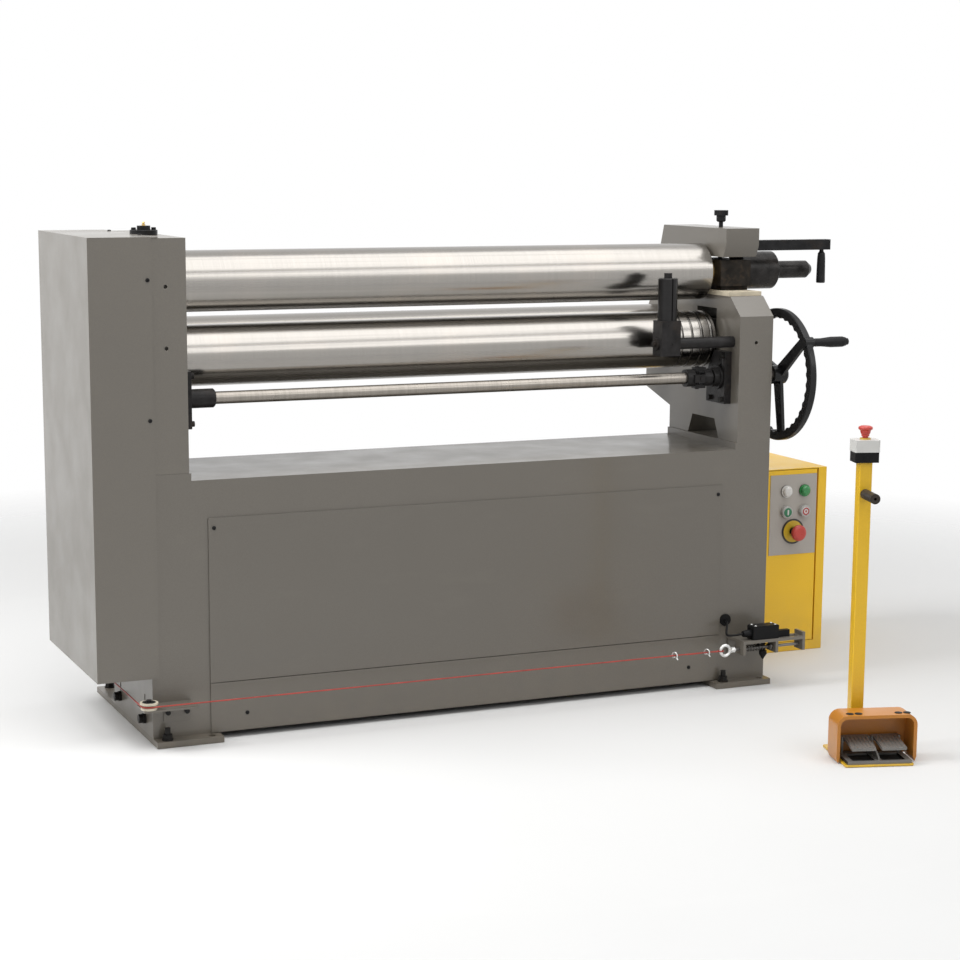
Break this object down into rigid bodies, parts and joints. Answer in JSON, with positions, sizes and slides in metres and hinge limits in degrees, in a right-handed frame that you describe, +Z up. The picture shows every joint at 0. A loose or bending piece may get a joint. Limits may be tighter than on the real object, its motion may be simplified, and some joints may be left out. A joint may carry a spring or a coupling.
{
  "type": "slip roll machine",
  "caption": "Powered slip roll for bending sheet into curves and cones: polished rolls between cast stands, drop-end yoke, gear cover, trip wire, control cabinet and foot pedestal",
  "frame": {"origin": "on the floor, at the centre of the four anchor holes in the feet", "axes": "+X along the rolls from the gear cover to the drop end, +Y from the operator to the back, +Z up"},
  "size_m": [1.904, 1.2692, 1.0925],
  "materials": {
    "machine_paint": "warm grey gloss enamel",
    "rolled_steel": "ground and polished",
    "black_steel": "black oxide",
    "bright_steel": "machined",
    "zinc_steel": "zinc plated",
    "bush_brass": "turned",
    "gear_steel": "machined teeth",
    "wheel_black": "moulded",
    "grip_plastic": "moulded",
    "motor_paint": "blue enamel",
    "wire_red": "plastic covered wire",
    "lead_rubber": "black sheath",
    "switch_plastic": "moulded",
    "plate_grey": "light grey enamel",
    "lamp_lens": "translucent lenses",
    "bezel_metal": "moulded",
    "pulley_nylon": "turned",
    "button_green": "moulded",
    "button_red": "moulded",
    "guard_orange": "orange enamel",
    "plate_yellow": "yellow enamel",
    "pedal_grey": "painted grey casting",
    "box_white": "moulded"
  },
  "bodies": {
    "frame": {"base_cabinet": "machine_paint", "feet": "machine_paint", "frame_bolts": "black_steel", "front_panels": "machine_paint", "panel_screws": "black_steel", "left_stand": "machine_paint", "right_stand": "machine_paint", "guide_plates": "bright_steel", "gear_cover": "machine_paint", "pivot_cap": "black_steel", "idler_stud": "bright_steel", "reducer": "motor_paint", "drive_motor": "motor_paint", "shaft_bearings": "black_steel", "cone_bar": "black_steel", "pulley_bracket": "machine_paint", "trip_bracket": "machine_paint", "trip_switch": "switch_plastic", "switch_lead": "lead_rubber", "cabinet_case": "plate_yellow", "yoke_pin": "bright_steel", "top_roll_bushes": "bush_brass", "bearing_housing": "black_steel"},
    "top_roll": {"upper_roll": "rolled_steel", "top_roll_gear": "gear_steel", "lifting_bar": "black_steel"},
    "idler": {"idler_gear": "gear_steel"},
    "pinion": {"drive_pinion": "gear_steel"},
    "front_carrier": {"front_bearing_blocks": "black_steel"},
    "pinch_roll": {"front_roll": "rolled_steel"},
    "rear_carrier": {"rear_bearing_blocks": "black_steel"},
    "bending_roll": {"rear_roll": "rolled_steel"},
    "adjuster": {"adjusting_shaft": "bright_steel", "universal_joint": "black_steel", "handwheel": "wheel_black"},
    "turning_grip": {"wheel_grip": "grip_plastic"},
    "yoke_arm": {"yoke": "machine_paint"},
    "knob": {"clamp_knob": "black_steel"},
    "latch": {"latch_lever": "black_steel"},
    "cone_slide": {"cone_block": "black_steel"},
    "cone_spinner": {"cone_roller": "black_steel"},
    "pulley": {"corner_pulley": "pulley_nylon"},
    "trip_line": {"trip_rod": "zinc_steel", "trip_wire": "wire_red", "trip_spring": "zinc_steel"},
    "door": {"cabinet_door": "plate_yellow", "control_plate": "plate_grey", "pilot_lamps": "lamp_lens", "button_bezels": "bezel_metal"},
    "start": {"start_button": "button_green"},
    "stop": {"stop_button": "button_red"},
    "cabinet_stop": {"cabinet_stop_head": "button_red"},
    "pedestal": {"pedestal_plate": "plate_yellow", "pedestal_post": "plate_yellow", "pedal_hood": "guard_orange", "pedal_base": "pedal_grey", "pedestal_box": "box_white"},
    "pedal_left": {"left_pedal": "pedal_grey"},
    "pedal_right": {"right_pedal": "pedal_grey"},
    "pedestal_stop": {"pedestal_stop_head": "button_red"}
  },
  "joints": [
    {"name": "top_roll_spin", "type": "hinge", "parent": "frame", "child": "top_roll", "pos_m": [-0.05, -0.0525, 0.952], "axis": [1, 0, 0], "continuous": true},
    {"name": "idler_spin", "type": "hinge", "parent": "frame", "child": "idler", "pos_m": [-0.83, -0.025, 0.68944], "axis": [1, 0, 0], "continuous": true},
    {"name": "pinion_spin", "type": "hinge", "parent": "frame", "child": "pinion", "pos_m": [-0.83, -0.01, 0.45792], "axis": [1, 0, 0], "continuous": true},
    {"name": "front_roll_lift", "type": "slide", "parent": "frame", "child": "front_carrier", "axis": [0, 0, 1], "range_m": [0, 0.024]},
    {"name": "front_roll_spin", "type": "hinge", "parent": "front_carrier", "child": "pinch_roll", "pos_m": [-0.05, -0.0725, 0.797], "axis": [1, 0, 0], "continuous": true},
    {"name": "rear_roll_lift", "type": "slide", "parent": "frame", "child": "rear_carrier", "axis": [0, -0.7071, 0.7071], "range_m": [0, 0.06]},
    {"name": "rear_roll_spin", "type": "hinge", "parent": "rear_carrier", "child": "bending_roll", "pos_m": [-0.05, 0.144, 0.798], "axis": [1, 0, 0], "continuous": true},
    {"name": "handwheel_turn", "type": "hinge", "parent": "frame", "child": "adjuster", "pos_m": [0.745, -0.159, 0.715], "axis": [1, 0, 0], "continuous": true},
    {"name": "grip_spin", "type": "hinge", "parent": "adjuster", "child": "turning_grip", "pos_m": [0.8, -0.27778, 0.79817], "axis": [1, 0, 0], "continuous": true},
    {"name": "yoke_hinge", "type": "hinge", "parent": "frame", "child": "yoke_arm", "pos_m": [0.6435, 0.12, 0.975], "axis": [-1, 0, 0], "range_deg": [0, 90]},
    {"name": "clamp_screw", "type": "hinge", "parent": "yoke_arm", "child": "knob", "pos_m": [0.6435, -0.0525, 1.05], "axis": [0, 0, 1], "continuous": true},
    {"name": "latch_turn", "type": "hinge", "parent": "yoke_arm", "child": "latch", "pos_m": [0.7, -0.117, 1.013], "axis": [1, 0, 0], "range_deg": [-90, 0]},
    {"name": "cone_slide", "type": "slide", "parent": "frame", "child": "cone_slide", "axis": [1, 0, 0], "range_m": [0, 0.12]},
    {"name": "cone_roller_spin", "type": "hinge", "parent": "cone_slide", "child": "cone_spinner", "pos_m": [0.429, -0.192, 0.9], "axis": [0, 0, 1], "continuous": true},
    {"name": "pulley_spin", "type": "hinge", "parent": "frame", "child": "pulley", "pos_m": [-0.807, -0.2705, 0.098], "axis": [0, 0, 1], "continuous": true},
    {"name": "trip_pull", "type": "slide", "parent": "frame", "child": "trip_line", "axis": [-1, 0, 0], "range_m": [0, 0.004], "stiffness_N_per_m": 3000, "springref_m": -0.004, "deforming": ["trip_spring"]},
    {"name": "door_hinge", "type": "hinge", "parent": "frame", "child": "door", "pos_m": [0.9685, 0.018, 0.24], "axis": [0, 0, 1], "range_deg": [0, 110]},
    {"name": "start_press", "type": "slide", "parent": "door", "child": "start", "axis": [0, 1, 0], "range_m": [0, 0.004], "stiffness_N_per_m": 1500, "springref_m": -0.001},
    {"name": "stop_press", "type": "slide", "parent": "door", "child": "stop", "axis": [0, 1, 0], "range_m": [0, 0.004], "stiffness_N_per_m": 1500, "springref_m": -0.001},
    {"name": "cabinet_stop_press", "type": "slide", "parent": "door", "child": "cabinet_stop", "axis": [0, 1, 0], "range_m": [0, 0.004], "stiffness_N_per_m": 2500, "springref_m": -0.001},
    {"name": "pedestal_lift", "type": "slide", "parent": "frame", "child": "pedestal", "axis": [0, 0, 1], "range_m": [0, 0.25]},
    {"name": "left_pedal_press", "type": "hinge", "parent": "pedestal", "child": "pedal_left", "pos_m": [0.51558, -0.85636, 0.04], "axis": [0.9598, -0.2807, 0], "range_deg": [0, 12], "stiffness_Nm_per_rad": 2, "springref_deg": -8.59},
    {"name": "right_pedal_press", "type": "hinge", "parent": "pedestal", "child": "pedal_right", "pos_m": [0.57989, -0.87516, 0.04], "axis": [0.9598, -0.2807, 0], "range_deg": [0, 12], "stiffness_Nm_per_rad": 2, "springref_deg": -8.59},
    {"name": "pedestal_stop_press", "type": "slide", "parent": "pedestal", "child": "pedestal_stop", "axis": [0, 0, -1], "range_m": [0, 0.003], "stiffness_N_per_m": 2500, "springref_m": -0.001}
  ],
  "couplings": [
    {"joint": "idler_spin", "follows": "top_roll_spin", "ratio": -0.5},
    {"joint": "pinion_spin", "follows": "top_roll_spin", "ratio": 1.5714}
  ]
}
